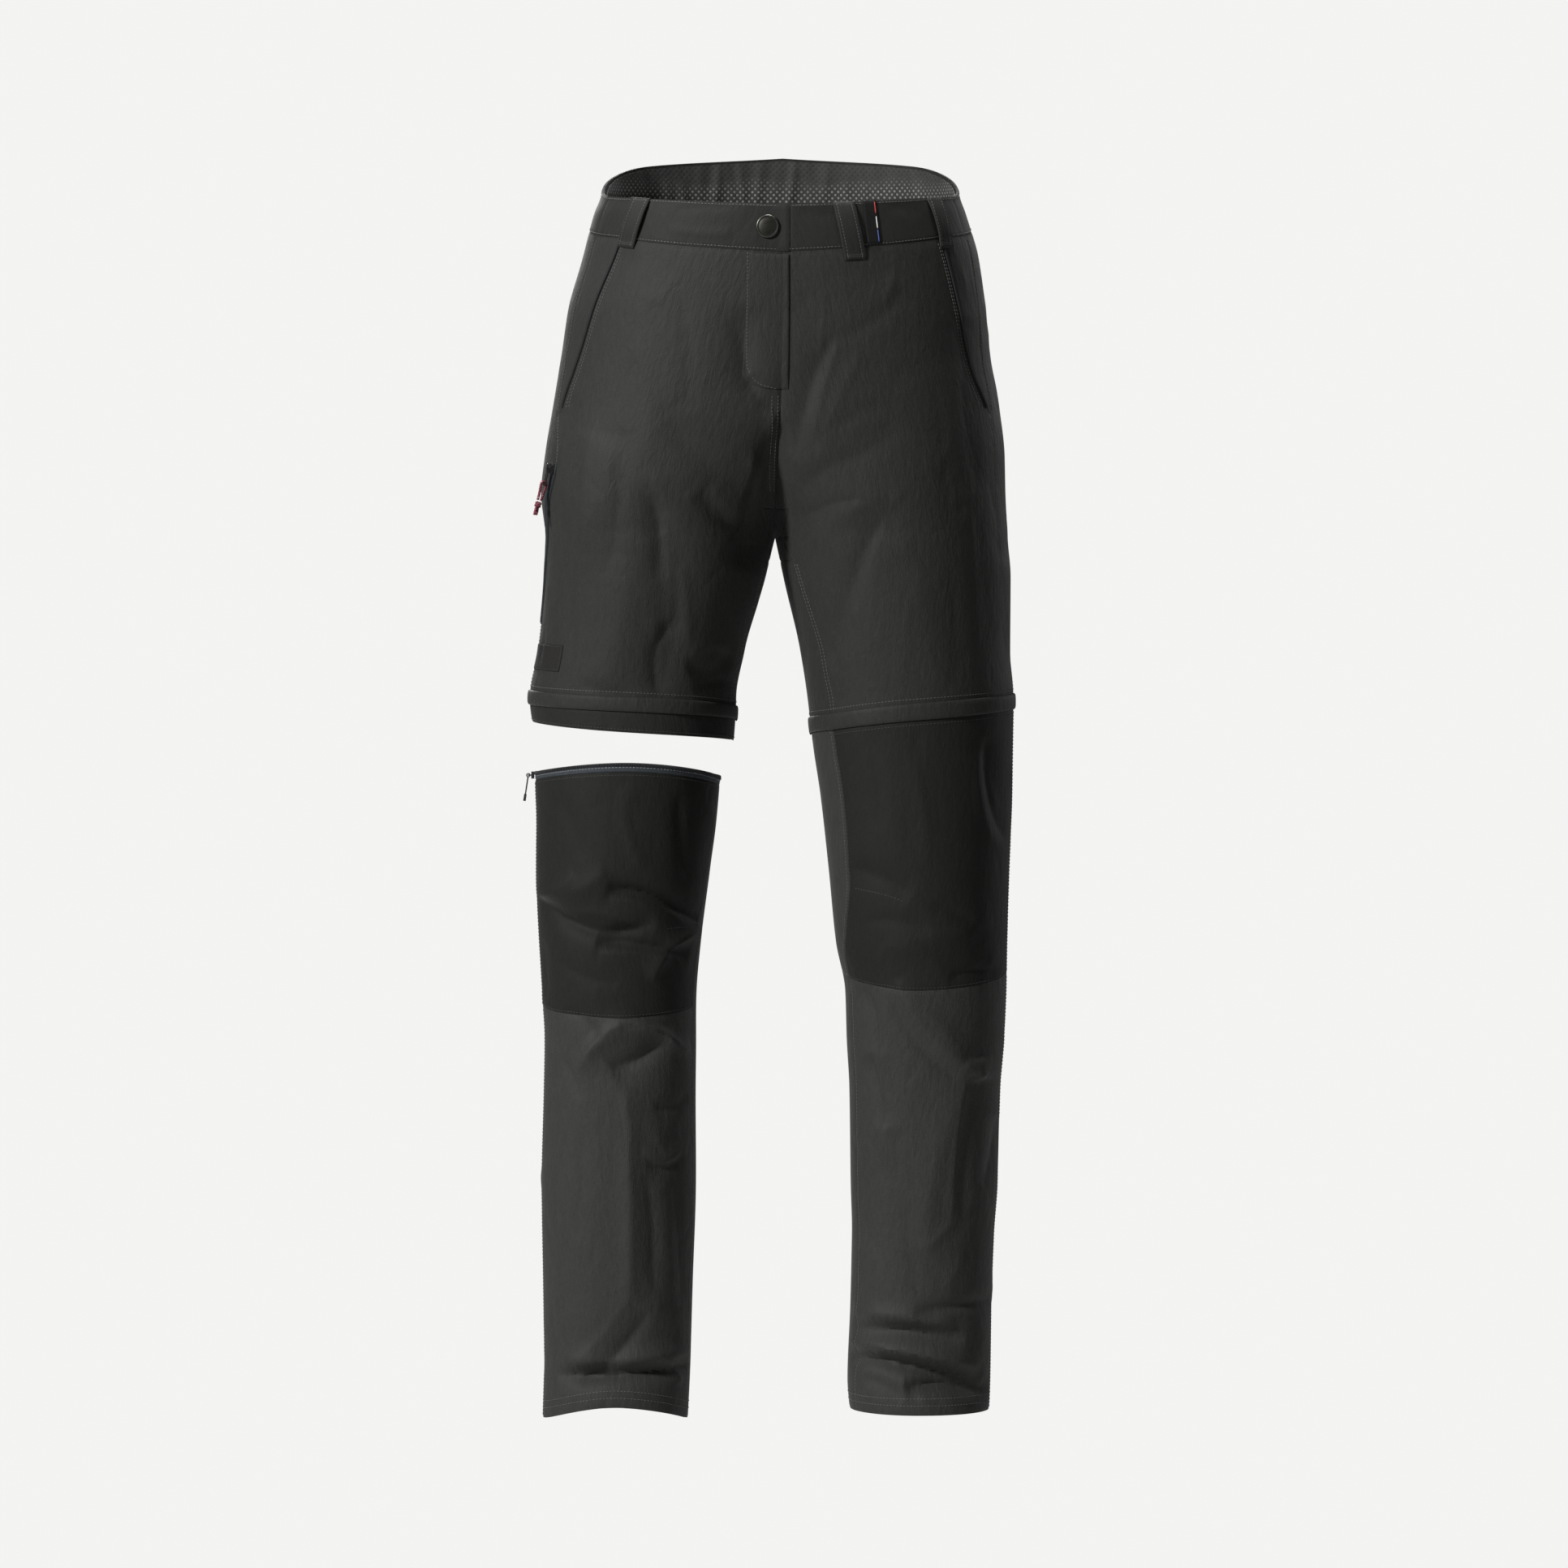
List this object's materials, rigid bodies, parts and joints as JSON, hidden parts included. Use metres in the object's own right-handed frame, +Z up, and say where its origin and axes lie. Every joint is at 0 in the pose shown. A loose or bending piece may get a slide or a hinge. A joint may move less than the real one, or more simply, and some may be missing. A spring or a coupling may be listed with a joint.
{
  "type": "convertible zip-off trousers",
  "caption": "Convertible trekking trousers, filled out and hollow, with one lower leg zipped off and hanging just under its shorts leg.",
  "frame": {"origin": "centre of the waist, at the height of the waistband's top edge at the sides", "axes": "+Z up along the body, +X towards the wearer's left, the front faces -Y"},
  "size_m": [0.4248, 0.2443, 1.0896],
  "materials": {
    "shell_nylon": "matte woven nylon, charcoal grey",
    "knee_nylon": "matte woven nylon, near black",
    "shin_nylon": "matte woven nylon, charcoal grey",
    "band_nylon": "matte woven nylon, charcoal grey",
    "lining_mesh": "open warp-knit mesh",
    "pocket_binding": "black binding tape",
    "zip_tape": "woven zip tape with coil teeth",
    "black_metal": "black painted zinc",
    "gunmetal": "dark nickel plate",
    "pull_cord": "braided cord, burgundy with pale flecks",
    "woven_tab": "woven tape, black with a tricolour edge",
    "label_patch": "smooth dark patch, bare"
  },
  "bodies": {
    "trousers": {"fly_placket": "shell_nylon", "gusset": "shell_nylon", "left_back": "shell_nylon", "left_front": "shell_nylon", "left_inner_knee": "shin_nylon", "left_knee": "knee_nylon", "left_lower_back": "shin_nylon", "left_pocket_bearer": "shell_nylon", "left_pocket_edge": "pocket_binding", "left_shin": "shin_nylon", "left_zip_strip": "shell_nylon", "loop_back_left": "band_nylon", "loop_back_right": "band_nylon", "loop_left_front": "band_nylon", "loop_left_side": "band_nylon", "loop_right_front": "band_nylon", "loop_tab": "woven_tab", "right_back": "shell_nylon", "right_front": "shell_nylon", "right_knee": "knee_nylon", "right_leg_slider": "black_metal", "right_leg_tape": "zip_tape", "right_lower_back": "shin_nylon", "right_pocket_bearer": "shell_nylon", "right_pocket_edge": "pocket_binding", "right_shin": "shin_nylon", "right_zip_facing": "zip_tape", "right_zip_strip": "shell_nylon", "snap_cap": "gunmetal", "thigh_label": "label_patch", "thigh_zip": "zip_tape", "thigh_zip_slider": "black_metal", "waist_mesh": "lining_mesh", "waistband_back": "band_nylon", "waistband_left_front": "band_nylon", "waistband_right_front": "band_nylon"},
    "thigh_pull": {"thigh_zip_pull": "gunmetal", "thigh_pull_cord": "pull_cord", "thigh_pull_knot": "pull_cord", "thigh_pull_tail_1": "pull_cord", "thigh_pull_tail_2": "pull_cord"},
    "leg_pull": {"right_leg_pull": "black_metal"}
  },
  "joints": [
    {"name": "thigh_pull_hinge", "type": "hinge", "parent": "trousers", "child": "thigh_pull", "pos_m": [-0.19694, -0.05306, -0.2371], "axis": [-0.3284, 0.9349, 0.1347], "range_deg": [0, 110]},
    {"name": "leg_pull_hinge", "type": "hinge", "parent": "trousers", "child": "leg_pull", "pos_m": [-0.21622, -0.00394, -0.50219], "axis": [0.0102, 0.9999, 0], "range_deg": [0, 120]}
  ]
}
